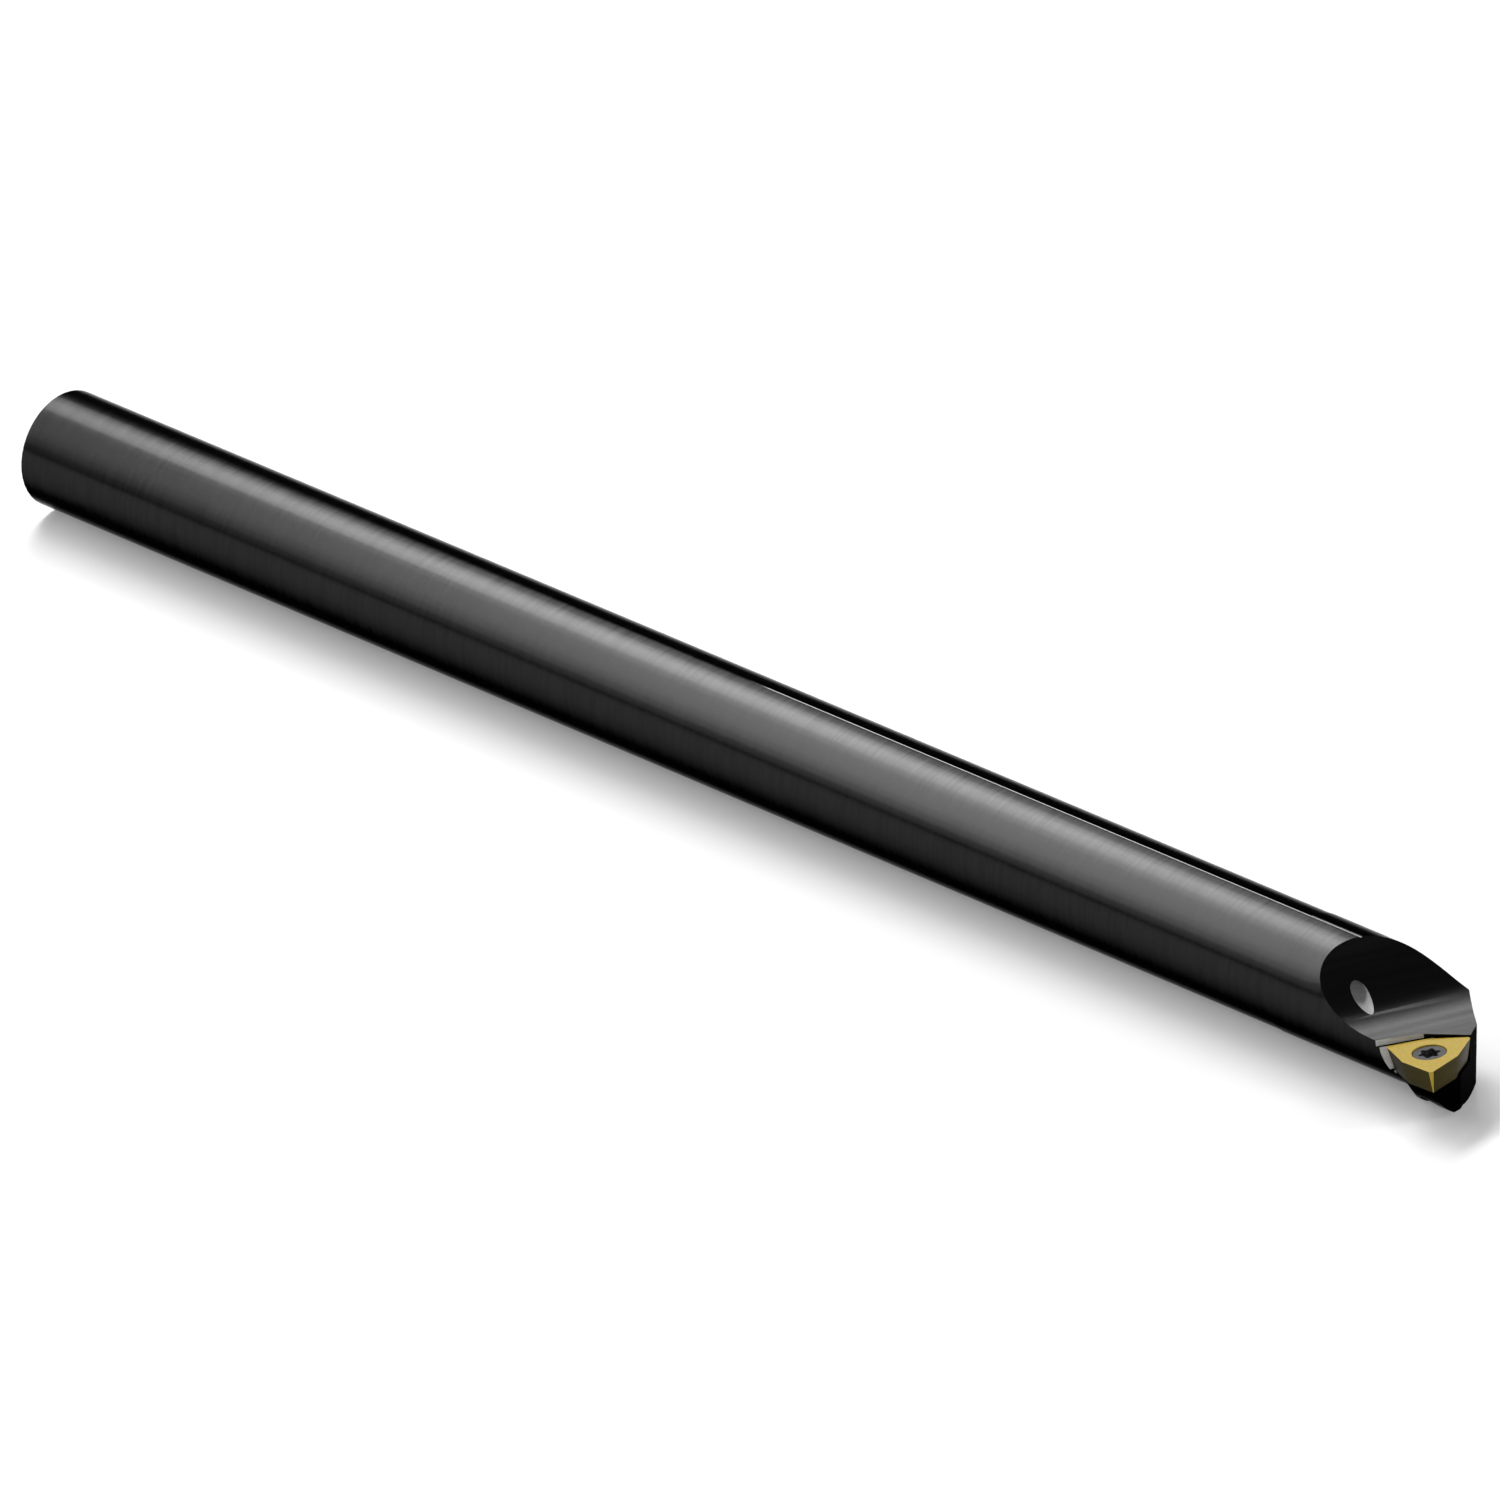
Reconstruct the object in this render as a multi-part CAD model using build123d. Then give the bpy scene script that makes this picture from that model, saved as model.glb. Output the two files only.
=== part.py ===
from build123d import *
import os
from math import cos, radians, sin, tan

# Left-hand boring bar: a long round carbide shank with a short steel head brazed
# to its end, a three-cornered trigon insert and the screw that clamps the insert.
# Millimetres. The origin is the centre of the shank's rear face, +X runs along
# the axis to the cutting end, +Z is up over the insert's top and the cutting
# nose stands out on the -Y side.

# --- overall ---
OVERALL_L = 127.0           # rear face to the cutting nose
NOSE_Y = 5.0                # axis to the cutting nose, sideways

# --- shank ---
SHANK_D = 7.9375            # 5/16 in round
DUCT_D = 2.0                # coolant duct along the shank
GROOVE_START = 62.2         # rear face to the start of the locating groove
GROOVE_RUNOUT = 2.4         # length over which the groove gets its depth
GROOVE_DEPTH = 0.02         # below the shank's surface
GROOVE_R = 0.15             # round bottom of the groove

# --- head ---
HEAD_L = 15.0               # brazed joint to the nose
HEAD_STEP = 0.04            # the head is this much larger in radius than the shank
HEAD_TAPER = 0.01           # and it loses this much radius to its front
PLENUM_R = 2.6              # coolant recess in the head's joint face
PLENUM_DEPTH = 1.2
NOZZLE_D = 1.1              # coolant nozzle, aimed at the cutting nose
NOZZLE_EXIT = (8.85, 3.15, 1.17)    # on its axis: behind, inboard of and above the nose

# --- boss that carries the insert out beyond the shank: round, with a flat foot ---
BOSS_R = 5.2
BOSS_Y = 0.15               # centre of its round
BOSS_Z = 0.73
BOSS_FOOT_Z = -3.82         # flat foot
BOSS_FOOT_R = 0.3           # rounding between the foot and the round
BOSS_TOP_Z = 0.5            # it ends here, just above the gullet's floor
HEEL_DIR = 238.0            # degrees from +X, way its flat heel faces in plan
HEEL_LEAN = 31.5            # degrees, the heel leans in at the foot
HEEL_SETOFF = 0.1           # heel outside the insert's lower blunt corner

# --- front of the head, in plan: two faces that follow the edge and a chamfer ---
FRONT_SETBACK = 0.2         # front face behind the nose
FRONT_TURN_Y = -1.74        # the front face turns back here
FRONT_TURN = 117.4          # degrees from +X, direction of the second face
CHAMFER_Y = 1.49            # the corner chamfer starts here
CHAMFER = 140.4             # degrees from +X, direction of the chamfer

# --- gullet: a round-bottomed chip pocket with a flat floor in front ---
GULLET_R = 6.9
GULLET_BACK = 3.98          # lowest line behind the nose, on the bar's axis
GULLET_Z = 0.22             # its height there
GULLET_TURN = 66.6          # degrees from +X, direction of the gullet in plan
GULLET_TILT = 3.6           # degrees, it rises towards +Y

# --- insert seat: the insert's top plane passes through the nose ---
SEAT_RISE = 5.53            # degrees, the seat rises to the front
SEAT_DROP = 3.76            # degrees, and drops to the nose side
LEAD = 95.0                 # degrees, front cutting edge to the bar's axis
WALL_LEAN = 2.0             # degrees, less than the insert's flank: it bears at the top
SEAT_CORNER_R = 1.5         # rounding where the two rear sides of the seat meet
WALL_RELIEF = 0.22          # step in the seat's wall above the insert
SIDE_GAP = 0.1              # gap beside the free half of the insert's rear side
FLANK_SETBACK = 0.03        # head's flank behind the insert's lower edge
FLANK_CLEARANCE = 6.0       # degrees, the head's flank leans in below the insert

# --- insert ---
INSERT_IC = 3.96875         # inscribed circle, 5/32 in
INSERT_T = 1.5875           # thickness, 1/16 in
CORNER = 80.0               # degrees, cutting corner
NOSE_R = 0.2
NOSE_R_FOOT = 0.03          # the nose runs nearly to a point at the insert's foot
CLEARANCE = 11.0            # degrees, flanks lean in under the cutting edges
HOLE_MOUTH_R = 1.1          # insert hole at the top face
HOLE_LIP_R = 0.05           # rounding of the hole's mouth
HOLE_R = 0.96               # insert hole at the foot
HOLE_CONE_TOP = 0.42        # depth at which the screw seat's cone starts
CONE = 60.0                 # degrees, countersink and screw head

# --- insert screw ---
SCREW_R = 0.9               # thread, M1.8
SCREW_HEAD_R = 1.05
SCREW_RECESS = 0.08         # head below the insert's top
SCREW_L = 2.7
SCREW_TIP = 0.15            # chamfer on the screw's end
SCREW_CLEAR = 0.02          # radial gap in the tapped hole
SOCKET_R = 0.71             # six-lobe socket, over the lobes
SOCKET_FLUTE_R = 0.3        # radius of the ribs between the lobes
SOCKET_WAIST_R = 0.52       # axis to the ribs
SOCKET_LOBE_FILLET = 0.05
SOCKET_DEPTH = 0.75

FAR = 20.0                  # reach of the cutting bodies beyond the part

SHANK_R = SHANK_D / 2
HEAD_R = SHANK_R + HEAD_STEP
JOINT_X = OVERALL_L - HEAD_L
FLANK_LEAN = tan(radians(CLEARANCE))
HALF_CORNER = radians(CORNER / 2)
CORNER_REACH = INSERT_IC / 2 / sin(HALF_CORNER)
NOSE_DIR = LEAD + CORNER / 2 - 180      # degrees, insert centre to cutting corner
SIDE_NORMAL = 90 - CORNER / 2           # degrees, corner to the normal of its sides
GAP_DIR = NOSE_DIR + 120 + SIDE_NORMAL  # normals of the two rear sides of the seat
WALL_DIR = NOSE_DIR + 240 - SIDE_NORMAL

BASE = (Align.CENTER, Align.CENTER, Align.MIN)

# The seat's frame: origin at the nose, X and Y in the insert's top plane.
SEAT = Pos(OVERALL_L, -NOSE_Y, 0) * Rot(0, -SEAT_RISE, 0) * Rot(SEAT_DROP, 0, 0)


def polar(reach, angle):
    return Vector(reach * cos(radians(angle)), reach * sin(radians(angle)))


def insert_centre():
    # The nose arc touches the seat frame's axes, so the nose is where they cross.
    arc_centre = Vector(-NOSE_R, NOSE_R)
    return arc_centre - polar(CORNER_REACH - NOSE_R / sin(HALF_CORNER), NOSE_DIR)


CENTRE = insert_centre()
INSERT_PLACE = SEAT * Pos(CENTRE.X, CENTRE.Y, 0)


def trigon_corner(shrink, turn):
    """Sharp cutting corner of the outline, moved in by shrink along its normals."""
    return polar(CORNER_REACH - shrink / sin(HALF_CORNER), NOSE_DIR + turn)


def trigon_middle(shrink, turn):
    """Blunt corner in the middle of a side."""
    reach = (INSERT_IC / 2 - shrink) / cos(radians(60 - SIDE_NORMAL))
    return polar(reach, NOSE_DIR + turn + 60)


def trigon_wire(shrink, nose_r, height):
    """Outline of the insert at one height, with rounded cutting corners."""
    edges = []
    back = nose_r / tan(HALF_CORNER)
    for turn in (0, 120, 240):
        corner = trigon_corner(shrink, turn)
        before = trigon_middle(shrink, turn - 120)
        after = trigon_middle(shrink, turn)
        start = corner + (before - corner).normalized() * back
        end = corner + (after - corner).normalized() * back
        tip_reach = corner.length - nose_r * (1 / sin(HALF_CORNER) - 1)
        tip = polar(tip_reach, NOSE_DIR + turn)
        following = trigon_corner(shrink, turn + 120)
        next_start = following + (after - following).normalized() * back
        edges.append(ThreePointArc(start, tip, end))
        edges.append(Line(end, after))
        edges.append(Line(after, next_start))
    return Pos(0, 0, height) * Wire(edges)


def cone_drop(radius_change):
    """Height of the screw seat's cone for a change of radius."""
    return radius_change / tan(radians(CONE / 2))


def make_insert():
    foot_shrink = INSERT_T * FLANK_LEAN
    top = trigon_wire(0, NOSE_R, 0)
    foot = trigon_wire(foot_shrink, NOSE_R_FOOT, -INSERT_T)
    body = Solid.make_loft([foot, top], ruled=True)
    lip = HOLE_LIP_R
    cone_foot = -HOLE_CONE_TOP - cone_drop(HOLE_MOUTH_R - HOLE_R)
    with BuildPart() as hole:
        with BuildSketch(Plane.XZ):
            with BuildLine():
                Line((0, 1), (HOLE_MOUTH_R + lip, 1))
                Line((HOLE_MOUTH_R + lip, 1), (HOLE_MOUTH_R + lip, 0))
                RadiusArc((HOLE_MOUTH_R + lip, 0), (HOLE_MOUTH_R, -lip), -lip)
                Line((HOLE_MOUTH_R, -lip), (HOLE_MOUTH_R, -HOLE_CONE_TOP))
                Line((HOLE_MOUTH_R, -HOLE_CONE_TOP), (HOLE_R, cone_foot))
                Line((HOLE_R, cone_foot), (HOLE_R, -INSERT_T - 1))
                Line((HOLE_R, -INSERT_T - 1), (0, -INSERT_T - 1))
                Line((0, -INSERT_T - 1), (0, 1))
            make_face()
        revolve(axis=Axis.Z)
    return INSERT_PLACE * (Part() + body - hole.part)


def socket_outline():
    outline = Circle(SOCKET_R)
    for k in range(6):
        rib = polar(SOCKET_WAIST_R + SOCKET_FLUTE_R, 30 + 60 * k)
        outline -= Pos(rib.X, rib.Y) * Circle(SOCKET_FLUTE_R)
    return fillet(outline.vertices(), SOCKET_LOBE_FILLET)


def make_insert_screw():
    # The head's cone sits on the cone in the insert's hole.
    top = -SCREW_RECESS
    rim = -HOLE_CONE_TOP - cone_drop(HOLE_MOUTH_R - SCREW_HEAD_R)
    neck = -HOLE_CONE_TOP - cone_drop(HOLE_MOUTH_R - SCREW_R)
    tip = top - SCREW_L
    with BuildPart() as screw:
        with BuildSketch(Plane.XZ):
            with BuildLine():
                Polyline(
                    (0, top),
                    (SCREW_HEAD_R, top),
                    (SCREW_HEAD_R, rim),
                    (SCREW_R, neck),
                    (SCREW_R, tip + SCREW_TIP),
                    (SCREW_R - SCREW_TIP, tip),
                    (0, tip),
                    close=True,
                )
            make_face()
        revolve(axis=Axis.Z)
    socket = extrude(Pos(0, 0, top) * socket_outline(), amount=-SOCKET_DEPTH)
    return INSERT_PLACE * (screw.part - socket)


def along_x(shape, x):
    """Stand a shape that was made along +Z on the bar's axis from x onwards."""
    return Pos(x, 0, 0) * Rot(0, 90, 0) * shape


def locating_groove():
    height = SHANK_R - GROOVE_DEPTH + GROOVE_R
    straight = Cylinder(GROOVE_R, OVERALL_L - GROOVE_START - GROOVE_RUNOUT, align=BASE)
    runout = Cone(GROOVE_R - GROOVE_DEPTH, GROOVE_R, GROOVE_RUNOUT, align=BASE)
    groove = along_x(runout, GROOVE_START) + along_x(straight, GROOVE_START + GROOVE_RUNOUT)
    return Pos(0, 0, height) * groove


def make_shank():
    rod = along_x(Cylinder(SHANK_R, JOINT_X, align=BASE), 0)
    duct = along_x(Cylinder(DUCT_D / 2, JOINT_X, align=BASE), 0)
    return rod - duct - locating_groove()


def behind_heel():
    """Everything behind and below the boss's flat heel."""
    middle = trigon_middle(INSERT_T * FLANK_LEAN, -120)
    corner = (INSERT_PLACE * Pos(middle.X, middle.Y, -INSERT_T)).position
    flat = cos(radians(HEEL_LEAN))
    outward = polar(flat, HEEL_DIR) - Vector(0, 0, sin(radians(HEEL_LEAN)))
    heel = Plane(origin=corner + outward * HEEL_SETOFF, z_dir=outward)
    return heel.location * Box(2 * FAR, 2 * FAR, FAR, align=BASE)


def boss():
    length = 2 * HEAD_L
    rod = Pos(OVERALL_L, BOSS_Y, BOSS_Z) * Rot(0, 90, 0) * Cylinder(BOSS_R, length)
    above_foot = Pos(OVERALL_L, 0, BOSS_FOOT_Z + FAR) * Box(length, 2 * FAR, 2 * FAR)
    body = rod & above_foot
    foot_face = body.faces().sort_by(Axis.Z)[0]
    body = fillet(foot_face.edges().filter_by(Axis.X), BOSS_FOOT_R)
    nose_side = Pos(OVERALL_L, -FAR, BOSS_TOP_Z - FAR) * Box(length, 2 * FAR, 2 * FAR)
    return (body & nose_side) - behind_heel()


def gullet():
    """Cutter for the chip pocket: round behind its lowest line, flat in front."""
    with BuildSketch(Plane.XZ) as section:
        with BuildLine():
            lowest = (0, 0)
            back = (-GULLET_R, GULLET_R)
            CenterArc((0, GULLET_R), GULLET_R, 180, 90)
            Polyline(lowest, (FAR, 0), (FAR, GULLET_R), back)
        make_face()
    cutter = extrude(section.sketch, amount=FAR, both=True)
    turn = GULLET_TURN - 90
    place = Pos(OVERALL_L - GULLET_BACK, 0, GULLET_Z) * Rot(0, 0, turn) * Rot(GULLET_TILT, 0, 0)
    return place * cutter


def fall_back(angle):
    """Loss of X for each millimetre of +Y along a face at this angle from +X."""
    return 1 / tan(radians(180 - angle))


def plan_cutter(points, low, high):
    face = make_face(Polyline(*points, close=True))
    return extrude(Pos(0, 0, low) * face, amount=high - low)


def beyond_front():
    """Everything in front of the head's two front faces and its chamfer."""
    lead = fall_back(LEAD)
    x_first = OVERALL_L - FRONT_SETBACK
    x_turn = x_first - (FRONT_TURN_Y + NOSE_Y) * lead
    x_chamfer = x_turn - (CHAMFER_Y - FRONT_TURN_Y) * fall_back(FRONT_TURN)
    points = [
        (x_first + (FAR - NOSE_Y) * lead, -FAR),
        (x_turn, FRONT_TURN_Y),
        (x_chamfer, CHAMFER_Y),
        (x_chamfer - (FAR - CHAMFER_Y) * fall_back(CHAMFER), FAR),
        (OVERALL_L + FAR, FAR),
        (OVERALL_L + FAR, -FAR),
    ]
    return plan_cutter(points, -FAR, FAR)


def wedge(wall_reach, gap_reach, drop):
    """Plan of the seat between its wall and its relief, at a depth below the top."""
    wall_n = polar(1, WALL_DIR)
    gap_n = polar(1, GAP_DIR)
    det = wall_n.X * gap_n.Y - wall_n.Y * gap_n.X
    x = (wall_reach * gap_n.Y - gap_reach * wall_n.Y) / det
    y = (wall_n.X * gap_reach - gap_n.X * wall_reach) / det
    corner = Vector(x, y)
    side_end = corner + polar(FAR, WALL_DIR + 90)
    front_end = corner + polar(FAR, GAP_DIR - 90)
    outside = corner + polar(2 * FAR, NOSE_DIR)
    plan = make_face(Polyline(corner, side_end, outside, front_end, close=True))
    plan = fillet(plan.vertices().sort_by_distance(corner)[0], SEAT_CORNER_R)
    return Pos(0, 0, -drop) * plan


def insert_seat():
    """Cutter for the seat: leaning wall below the insert's top, relief above it."""
    reach = INSERT_IC / 2
    foot_reach = reach - INSERT_T * tan(radians(WALL_LEAN))
    gap_reach = reach + SIDE_GAP
    foot = wedge(foot_reach, gap_reach, INSERT_T)
    top = wedge(reach, gap_reach, 0)
    lower = Solid.make_loft([foot.face().outer_wire(), top.face().outer_wire()], ruled=True)
    upper = extrude(wedge(reach + WALL_RELIEF, gap_reach, 0), amount=FAR)
    return INSERT_PLACE * (Part() + lower + upper)


def outside_flank(shrink, height):
    """Outline of everything outside the insert's lower edges on the nose side."""
    nose = trigon_corner(shrink, 0)
    middle = trigon_middle(shrink, -120)
    corner = trigon_corner(shrink, -120)
    ahead = middle + (nose - middle).normalized() * FAR
    outside = ahead + polar(FAR, NOSE_DIR - 45)
    behind = corner + polar(FAR, WALL_DIR + 90)
    outline = Polyline(corner, middle, ahead, outside, behind, close=True)
    return Pos(0, 0, height) * outline


def beside_flank():
    """Cutter for the head's flank, which leans in under the insert's lower edges."""
    shrink = INSERT_T * FLANK_LEAN + FLANK_SETBACK
    drop = NOSE_Y + HEAD_R
    lean = drop * tan(radians(FLANK_CLEARANCE))
    top = outside_flank(shrink, -INSERT_T)
    foot = outside_flank(shrink + lean, -INSERT_T - drop)
    return INSERT_PLACE * (Part() + Solid.make_loft([foot.wire(), top.wire()], ruled=True))


def coolant_nozzle():
    back, inboard, up = NOZZLE_EXIT
    nose = Vector(OVERALL_L, -NOSE_Y, 0)
    mouth = nose + Vector(-back, inboard, up)
    aim = (nose - mouth).normalized()
    start = mouth - aim * ((mouth.X - JOINT_X - PLENUM_DEPTH / 2) / aim.X)
    end = mouth + aim * (2 * NOZZLE_D)
    jet = Cylinder(NOZZLE_D / 2, (end - start).length, align=BASE)
    plenum = along_x(Cylinder(PLENUM_R, PLENUM_DEPTH, align=BASE), JOINT_X)
    return Plane(origin=start, z_dir=aim).location * jet + plenum


def tapped_hole():
    hole_r = SCREW_R + SCREW_CLEAR
    return INSERT_PLACE * Pos(0, 0, -INSERT_T - FAR / 2) * Cylinder(hole_r, FAR)


def make_head():
    rod = along_x(Cone(HEAD_R, HEAD_R - HEAD_TAPER, HEAD_L, align=BASE), JOINT_X)
    ahead = Pos(JOINT_X + FAR, 0, 0) * Box(2 * FAR, 2 * FAR, 2 * FAR)
    body = rod + (boss() & ahead)
    body = body - beyond_front() - gullet() - insert_seat() - beside_flank()
    body = body - coolant_nozzle() - tapped_hole() - locating_groove()
    return body


PARTS = {
    "shank": make_shank(),
    "head": make_head(),
    "insert": make_insert(),
    "insert_screw": make_insert_screw(),
}

os.makedirs("parts", exist_ok=True)
for name, shape in PARTS.items():
    export_step(shape, f"parts/{name}.step")
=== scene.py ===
import bmesh
import bpy
from math import cos, pi, radians, sin
from mathutils import Matrix, Vector


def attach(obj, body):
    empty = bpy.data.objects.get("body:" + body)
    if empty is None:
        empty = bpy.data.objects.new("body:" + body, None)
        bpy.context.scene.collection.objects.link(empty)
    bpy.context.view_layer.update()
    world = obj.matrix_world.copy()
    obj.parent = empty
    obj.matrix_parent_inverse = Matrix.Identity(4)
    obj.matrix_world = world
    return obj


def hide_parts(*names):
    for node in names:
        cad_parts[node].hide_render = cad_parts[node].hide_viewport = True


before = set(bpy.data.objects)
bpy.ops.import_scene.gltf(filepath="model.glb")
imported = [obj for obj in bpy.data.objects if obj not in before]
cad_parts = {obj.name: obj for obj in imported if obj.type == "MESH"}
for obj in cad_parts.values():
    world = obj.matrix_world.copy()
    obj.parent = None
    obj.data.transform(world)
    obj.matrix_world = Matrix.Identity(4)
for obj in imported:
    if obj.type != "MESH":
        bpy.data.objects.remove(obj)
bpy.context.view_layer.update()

scene = bpy.context.scene
scene.view_settings.view_transform = "Standard"

# ---------------------------------------------------------------- camera
# A long lens far off, level with no roll, looking down on the bar from the
# front of its cutting end.
camera_data = bpy.data.cameras.new("camera")
camera_data.sensor_width = 36.0
camera_data.lens = 591.39
camera_data.clip_start = 0.05
camera_data.clip_end = 20.0
camera = bpy.data.objects.new("camera", camera_data)
scene.collection.objects.link(camera)
camera.location = (1.057957, -1.013961, 0.676290)
look = Vector((-0.63228, 0.64426, -0.43029))
camera.rotation_euler = look.to_track_quat("-Z", "Y").to_euler()
scene.camera = camera

# ---------------------------------------------------------------- studio floor
# A plain white floor of matt paint that the bar lies on. What looks at it
# directly or in a mirror or glass sees it a little lighter than it lights.
floor_z = -0.00402
floor_reach = 3
floor_mesh = bpy.data.meshes.new("floor")
bm = bmesh.new()
bmesh.ops.create_grid(
    bm, x_segments=1, y_segments=1, size=floor_reach, matrix=Matrix.Translation((0, 0, floor_z))
)
bm.to_mesh(floor_mesh)
bm.free()
floor = bpy.data.objects.new("floor", floor_mesh)
scene.collection.objects.link(floor)
floor_paint = bpy.data.materials.new("floor_white")
floor_paint.use_nodes = True
paint = floor_paint.node_tree.nodes["Principled BSDF"]
paint.inputs["Base Color"].default_value = (0.83, 0.83, 0.83, 1)
paint.inputs["Roughness"].default_value = 0.9
paint.inputs["Specular IOR Level"].default_value = 0.1
paint.inputs["Emission Color"].default_value = (1, 1, 1, 1)
rays = floor_paint.node_tree.nodes.new("ShaderNodeLightPath")
seen = floor_paint.node_tree.nodes.new("ShaderNodeMath")
seen.operation = "MAXIMUM"
seen_through = floor_paint.node_tree.nodes.new("ShaderNodeMath")
seen_through.operation = "MAXIMUM"
lift = floor_paint.node_tree.nodes.new("ShaderNodeMath")
lift.operation = "MULTIPLY"
lift.inputs[1].default_value = 0.2
floor_paint.node_tree.links.new(rays.outputs["Is Camera Ray"], seen.inputs[0])
floor_paint.node_tree.links.new(rays.outputs["Is Glossy Ray"], seen.inputs[1])
floor_paint.node_tree.links.new(seen.outputs[0], seen_through.inputs[0])
floor_paint.node_tree.links.new(rays.outputs["Is Transmission Ray"], seen_through.inputs[1])
floor_paint.node_tree.links.new(seen_through.outputs[0], lift.inputs[0])
floor_paint.node_tree.links.new(lift.outputs[0], paint.inputs["Emission Strength"])
floor_mesh.materials.append(floor_paint)


# ---------------------------------------------------------------- studio light
# An arch of small soft boxes over the rear end of the bar, brightest behind
# it and set further forward over its near side, a few more above the cutting
# end, and an even pale surround.
lamp_reach = 1.2


def soft_box(name, x, way, upright, wide, high, glow):
    """A lamp at lamp_reach from the axis at x, wide and high as seen from there in radians."""
    way = Vector(way).normalized()
    high_way = (Vector(upright) - way * way.dot(Vector(upright))).normalized()
    data = bpy.data.lights.new(name, "AREA")
    data.shape = "RECTANGLE"
    data.size = wide * lamp_reach
    data.size_y = high * lamp_reach
    data.energy = glow * pi * data.size * data.size_y
    lamp = bpy.data.objects.new(name, data)
    scene.collection.objects.link(lamp)
    turn = Matrix((high_way.cross(way), high_way, way)).transposed()
    lamp.matrix_world = Matrix.Translation(way * lamp_reach + Vector((x, 0, 0))) @ turn.to_4x4()


def arch_of_boxes(name, x, wide, glows):
    """Boxes round the bar, each at its angle from +Y in degrees with its own glow."""
    for angle, glow in glows.items():
        c = cos(radians(angle))
        s = sin(radians(angle))
        way = (-0.632, 0.774 * c, 0.774 * s)
        soft_box("%s_%d" % (name, angle), x, way, (0, -s, c), wide, 0.166, glow)


arch_of_boxes("far_box", 0.086, 0.17, {36: 3.7, 48: 10.5, 60: 22.4, 72: 26.1, 84: 21.7})
arch_of_boxes(
    "near_box", 0.112, 0.13, {96: 15.1, 108: 11.5, 120: 10.8, 132: 10.1, 144: 7.9, 156: 5, 168: 1.8}
)
soft_box("nose_box_1", 0.122, (-0.59, 0.555, 0.585), (1, 0, 0.3), 0.1, 0.1, 6.3)
soft_box("nose_box_2", 0.122, (-0.473, 0.496, 0.727), (1, 0, 0.3), 0.1, 0.16, 11.7)
soft_box("nose_box_3", 0.122, (-0.354, 0.438, 0.826), (1, 0, 0.3), 0.1, 0.14, 6.3)
soft_box("nose_box_4", 0.122, (-0.22, 0.375, 0.9), (1, 0, 0.3), 0.1, 0.14, 1.8)
soft_box("front_box", 0.122, (0.8, -0.5, 0.35), (0, 0, 1), 0.25, 0.25, 9.9)
soft_box("back_box", 0.05, (0.63, 0.62, 0.46), (0, -0.6, 0.8), 0.16, 0.45, 6.3)

world = bpy.data.worlds.new("surround")
world.use_nodes = True
world.node_tree.nodes["Background"].inputs["Color"].default_value = (1, 1, 1, 1)
world.node_tree.nodes["Background"].inputs["Strength"].default_value = 0.072
scene.world = world


# ---------------------------------------------------------------- shank
# A ground carbide rod with a black finish and a shallow locating groove on top.
# Its grinding left fine marks round it, a faint grain in the gloss.
def own_copy(node, name):
    """A piece with the node's shape, its corners joined and its edges kept crisp."""
    shape = bmesh.new()
    shape.from_mesh(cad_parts[node].data)
    shape.transform(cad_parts[node].matrix_world)
    bmesh.ops.remove_doubles(shape, verts=shape.verts[:], dist=0.000001)
    for face in shape.faces:
        face.smooth = True
    for edge in shape.edges:
        edge.smooth = edge.is_manifold and edge.calc_face_angle() < radians(20)
    mesh = bpy.data.meshes.new(name)
    shape.to_mesh(mesh)
    shape.free()
    piece = bpy.data.objects.new(name, mesh)
    scene.collection.objects.link(piece)
    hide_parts(node)
    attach(piece, "root")
    return piece


def marked_metal(name, dark, light, roughness, mark, turn=(0, 0, 0), depth=0.0000005, edge=1.0, metal=1):
    """Metal with fine marks: mark is the size of one along X, Y and Z, turned by turn."""
    material = bpy.data.materials.new(name)
    material.use_nodes = True
    nodes = material.node_tree.nodes
    links = material.node_tree.links
    shader = nodes["Principled BSDF"]
    shader.inputs["Metallic"].default_value = metal
    shader.inputs["Specular IOR Level"].default_value = 0.1
    shader.inputs["Specular Tint"].default_value = (edge, edge, edge, 1)
    coordinates = nodes.new("ShaderNodeTexCoord")
    frame_of_marks = nodes.new("ShaderNodeMapping")
    frame_of_marks.vector_type = "TEXTURE"
    frame_of_marks.inputs["Rotation"].default_value = [radians(a) for a in turn]
    frame_of_marks.inputs["Scale"].default_value = mark
    marks = nodes.new("ShaderNodeTexNoise")
    marks.inputs["Scale"].default_value = 1
    marks.inputs["Detail"].default_value = 3
    colour = nodes.new("ShaderNodeValToRGB")
    colour.color_ramp.elements[0].position = 0.35
    colour.color_ramp.elements[0].color = (*dark, 1)
    colour.color_ramp.elements[1].position = 0.65
    colour.color_ramp.elements[1].color = (*light, 1)
    gloss = nodes.new("ShaderNodeMapRange")
    gloss.inputs["To Min"].default_value = roughness * 0.85
    gloss.inputs["To Max"].default_value = roughness * 1.15
    relief = nodes.new("ShaderNodeBump")
    relief.inputs["Strength"].default_value = 1
    relief.inputs["Distance"].default_value = depth
    links.new(coordinates.outputs["Object"], frame_of_marks.inputs["Vector"])
    links.new(frame_of_marks.outputs["Vector"], marks.inputs["Vector"])
    links.new(marks.outputs["Fac"], colour.inputs["Fac"])
    links.new(marks.outputs["Fac"], gloss.inputs["Value"])
    links.new(marks.outputs["Fac"], relief.inputs["Height"])
    links.new(colour.outputs["Color"], shader.inputs["Base Color"])
    links.new(gloss.outputs["Result"], shader.inputs["Roughness"])
    links.new(relief.outputs["Normal"], shader.inputs["Normal"])
    return material


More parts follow.
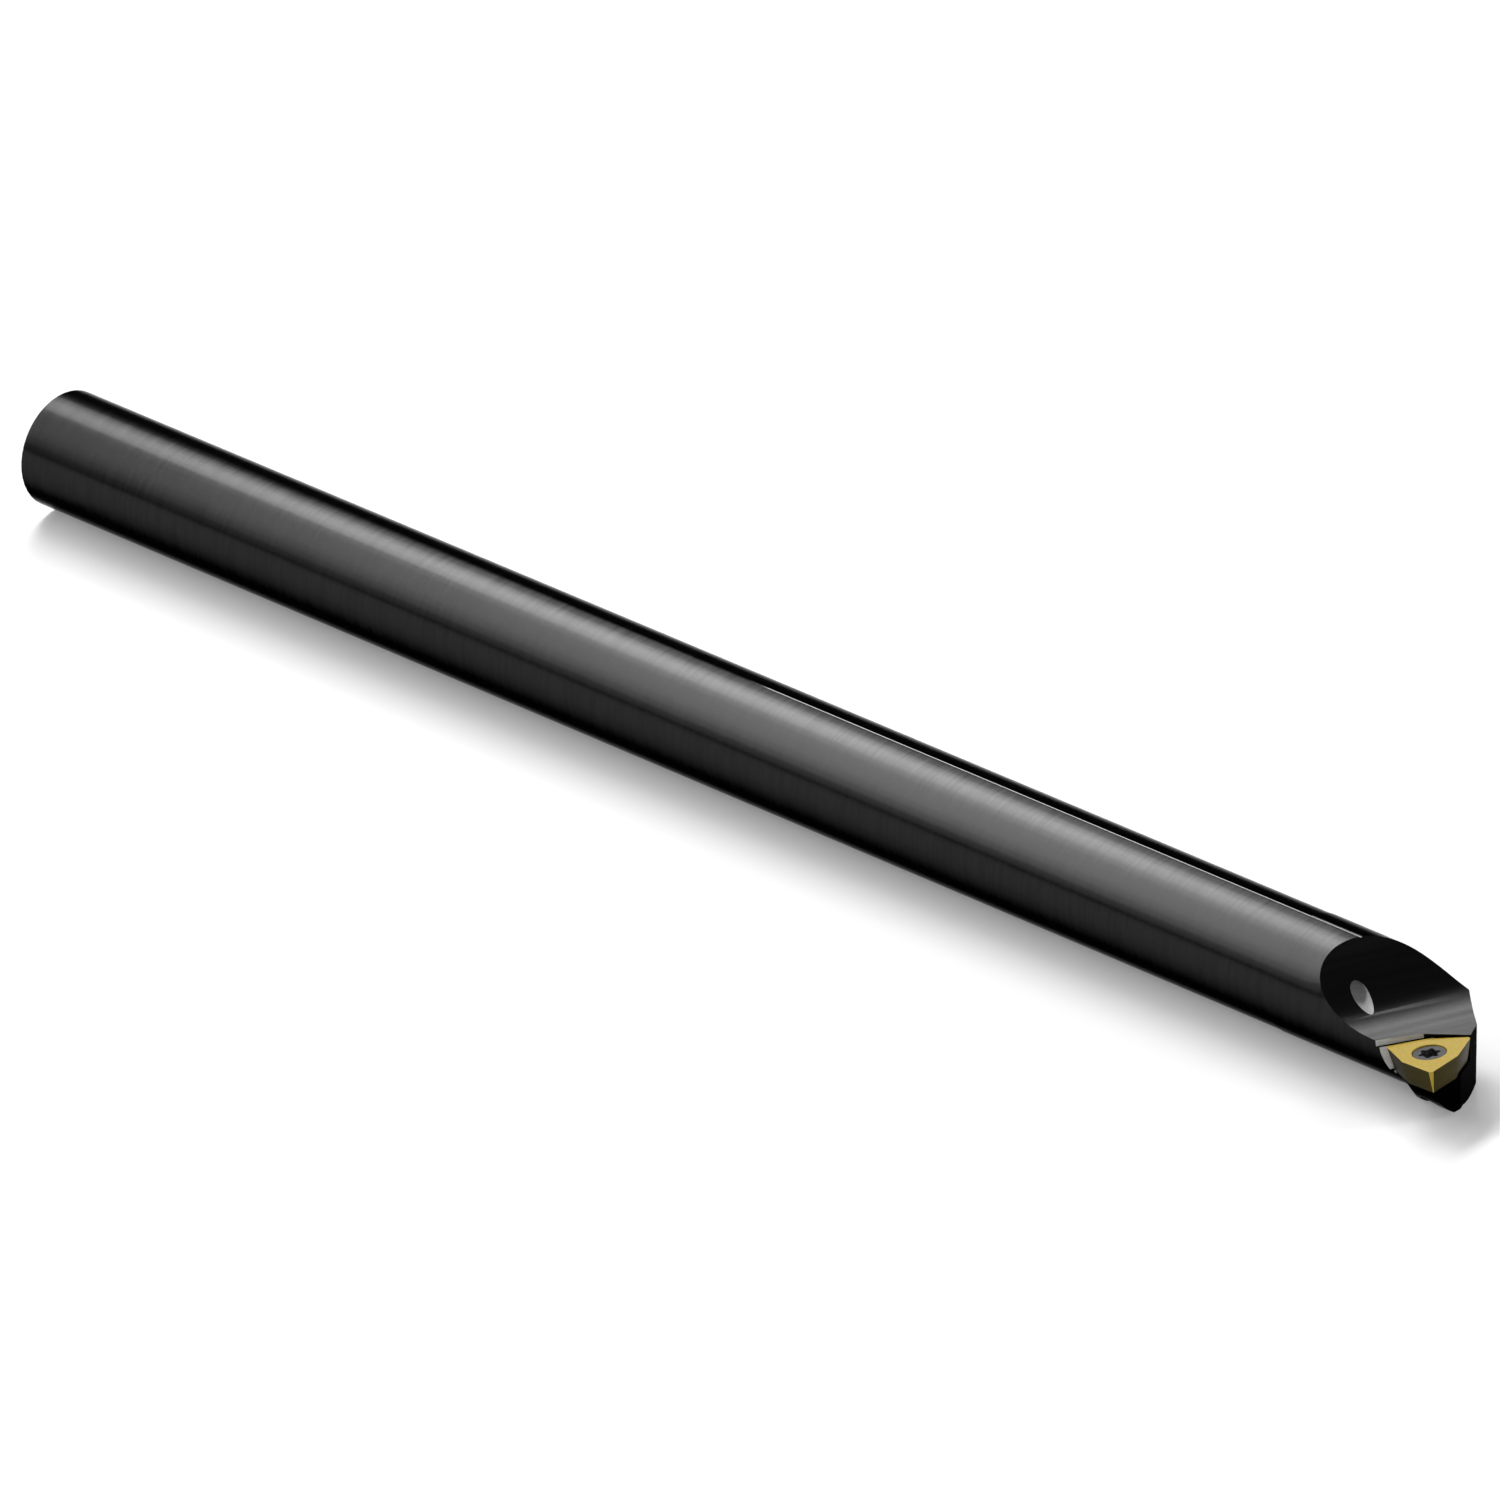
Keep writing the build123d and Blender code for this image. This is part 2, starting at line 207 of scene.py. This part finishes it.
shank = own_copy("shank", "ground_shank")
ground_black = marked_metal(
    "ground_black", (0.0183,) * 3, (0.0228,) * 3, 0.2, (0.00016, 0.003, 0.003), depth=0.0000007, edge=0.34
)
shank.data.materials.append(ground_black)
shank.data.materials.append(
    marked_metal("groove_black", (0.038,) * 3, (0.045,) * 3, 0.18, (0.0002, 0.004, 0.004), edge=0.45)
)
groove_half_width = 0.0001
groove_low = 0.0037
shank_groove_top = 0.00396
for face in shank.data.polygons:
    middle = face.center
    if abs(middle.y) < groove_half_width and groove_low < middle.z < shank_groove_top:
        face.material_index = 1

# ---------------------------------------------------------------- head
# A steel head brazed to the shank, turned and milled, then blackened. The seat
# wall facing the cutting corner and the coolant nozzle bore are drawn light grey:
# painted highlight on the same black finish. The front faces and the boss get a
# darker copy of the black: painted shade.
head = own_copy("head", "milled_head")
head.data.materials.append(ground_black)
head.data.materials.append(
    marked_metal(
        "gullet_black",
        (0.037,) * 3,
        (0.043,) * 3,
        0.24,
        (0.0002, 0.006, 0.006),
        turn=(0, 0, -23.4),
        depth=0.0000002,
        edge=0.45,
    )
)
# Painted highlight: light grey on one seat wall, whose finish is the same black as the head.
head.data.materials.append(
    marked_metal("seat_wall_painted_highlight", (0.5, 0.5, 0.495), (0.6, 0.6, 0.59), 0.4, (0.001, 0.001, 0.0001), metal=0)
)
# Painted highlight: light grey inside the nozzle bore, whose finish is the same black as the head.
head.data.materials.append(
    marked_metal("nozzle_painted_highlight", (0.48,) * 3, (0.55,) * 3, 0.4, (0.0003, 0.0003, 0.0003), metal=0)
)
# Painted shade: a darker copy of the black for the front faces, the gap wall beside the seat and the boss.
head.data.materials.append(
    marked_metal("head_front_painted_shade", (0.005,) * 3, (0.007,) * 3, 0.24, (0.002, 0.002, 0.0002), edge=0.25)
)
insert_middle = Vector((0.12485, -0.00284, 0))
nose_tip = Vector((0.127, -0.005, 0))
nozzle_mouth = Vector((0.11815, -0.00185, 0.00117))
nozzle_way = (nose_tip - nozzle_mouth).normalized()
nozzle_reach = 0.0006
nozzle_end = 0.1225
seat_wall_way = Vector((0.819, -0.574, 0))
seat_reach = 0.0046
screw_hole_reach = 0.0014
front_start = 0.12
body_radius = 0.0041
groove_top = 0.003965
gullet_radius = 0.0069
gullet_place = Matrix.Translation((0.12302, 0, 0.00022)) @ Matrix.Rotation(radians(-23.4), 4, "Z")
to_gullet = (gullet_place @ Matrix.Rotation(radians(3.6), 4, "X")).inverted()
for face in head.data.polygons:
    middle = face.center
    inward = insert_middle - middle
    inward.z = 0
    off_nozzle = middle - nozzle_mouth
    off_nozzle -= nozzle_way * off_nozzle.dot(nozzle_way)
    from_bar = Vector((middle.y, middle.z)).length
    in_gullet = to_gullet @ middle
    facing = to_gullet.to_3x3() @ face.normal
    to_axis = Vector((-in_gullet.x, gullet_radius - in_gullet.z))
    on_flat = abs(in_gullet.z) < 0.00002 and facing.z > 0.99
    on_round = abs(to_axis.length - gullet_radius) < 0.00005 and facing.xz.dot(to_axis) > 0.0065
    in_nozzle = off_nozzle.length < nozzle_reach and middle.x < nozzle_end
    near_seat = screw_hole_reach < inward.length < seat_reach
    # Painted highlight on the wall of the nozzle bore.
    if in_nozzle and abs(face.normal.dot(nozzle_way)) < 0.1:
        face.material_index = 3
    # Painted highlight on the seat wall that faces seat_wall_way.
    elif near_seat and face.normal.dot(seat_wall_way) > 0.97:
        face.material_index = 2
    # Painted shade on the faces that face forward, and on the boss below.
    elif abs(face.normal.z) < 0.3 and face.normal.x > 0.25 and middle.x > front_start:
        face.material_index = 4
    elif from_bar > body_radius:
        face.material_index = 4
    elif on_flat or on_round:
        face.material_index = 1
    elif abs(middle.y) < groove_half_width and middle.z > groove_low and from_bar < groove_top:
        face.material_index = 1

# ---------------------------------------------------------------- insert
# A pressed and ground carbide insert with a gold coating. The flanks get a much
# darker copy of the top's gold: painted shade.
insert = own_copy("insert", "coated_insert")
insert.data.materials.append(
    marked_metal("top_gold", (0.44, 0.31, 0.038), (0.5, 0.353, 0.047), 0.45, (0.0002,) * 3, metal=0)
)
# Painted shade: a much darker copy of the gold coating for the flanks.
insert.data.materials.append(
    marked_metal(
        "flank_gold_painted_shade", (0.038, 0.031, 0.008), (0.052, 0.042, 0.011), 0.3, (0.0015, 0.0015, 0.0001), edge=0.6
    )
)
insert_up = Vector((-0.0962, -0.0656, 0.9932))
insert_hole_reach = 0.0012
rounded_corner_start = 0.00262
for face in insert.data.polygons:
    out = face.center - insert_middle
    out -= insert_up * out.dot(insert_up)
    # Painted shade on the flanks round the insert's sides.
    if face.normal.dot(insert_up) < 0.5 and insert_hole_reach < out.length < rounded_corner_start:
        face.material_index = 1

# ---------------------------------------------------------------- insert screw
# A small hardened steel screw with a six-lobe socket, turned, its head let into
# the insert's countersunk hole.
screw = own_copy("insert_screw", "clamp_screw")
screw.data.materials.append(
    marked_metal("screw_black", (0.006,) * 3, (0.009,) * 3, 0.3, (0.0002,) * 3, depth=0.0000001)
)
# Painted highlight: a light steel colour on the socket's walls, whose finish is the screw's black.
screw.data.materials.append(
    marked_metal(
        "socket_painted_highlight", (0.45,) * 3, (0.55,) * 3, 0.25, (0.0005, 0.0005, 0.0002), depth=0.0000001
    )
)
socket_reach = 0.0008
for face in screw.data.polygons:
    out = face.center - insert_middle
    out -= insert_up * out.dot(insert_up)
    upright = abs(face.normal.dot(insert_up)) < 0.2
    # Painted highlight on the upright walls inside the socket.
    if upright and out.length < socket_reach and face.normal.dot(out) < 0:
        face.material_index = 1
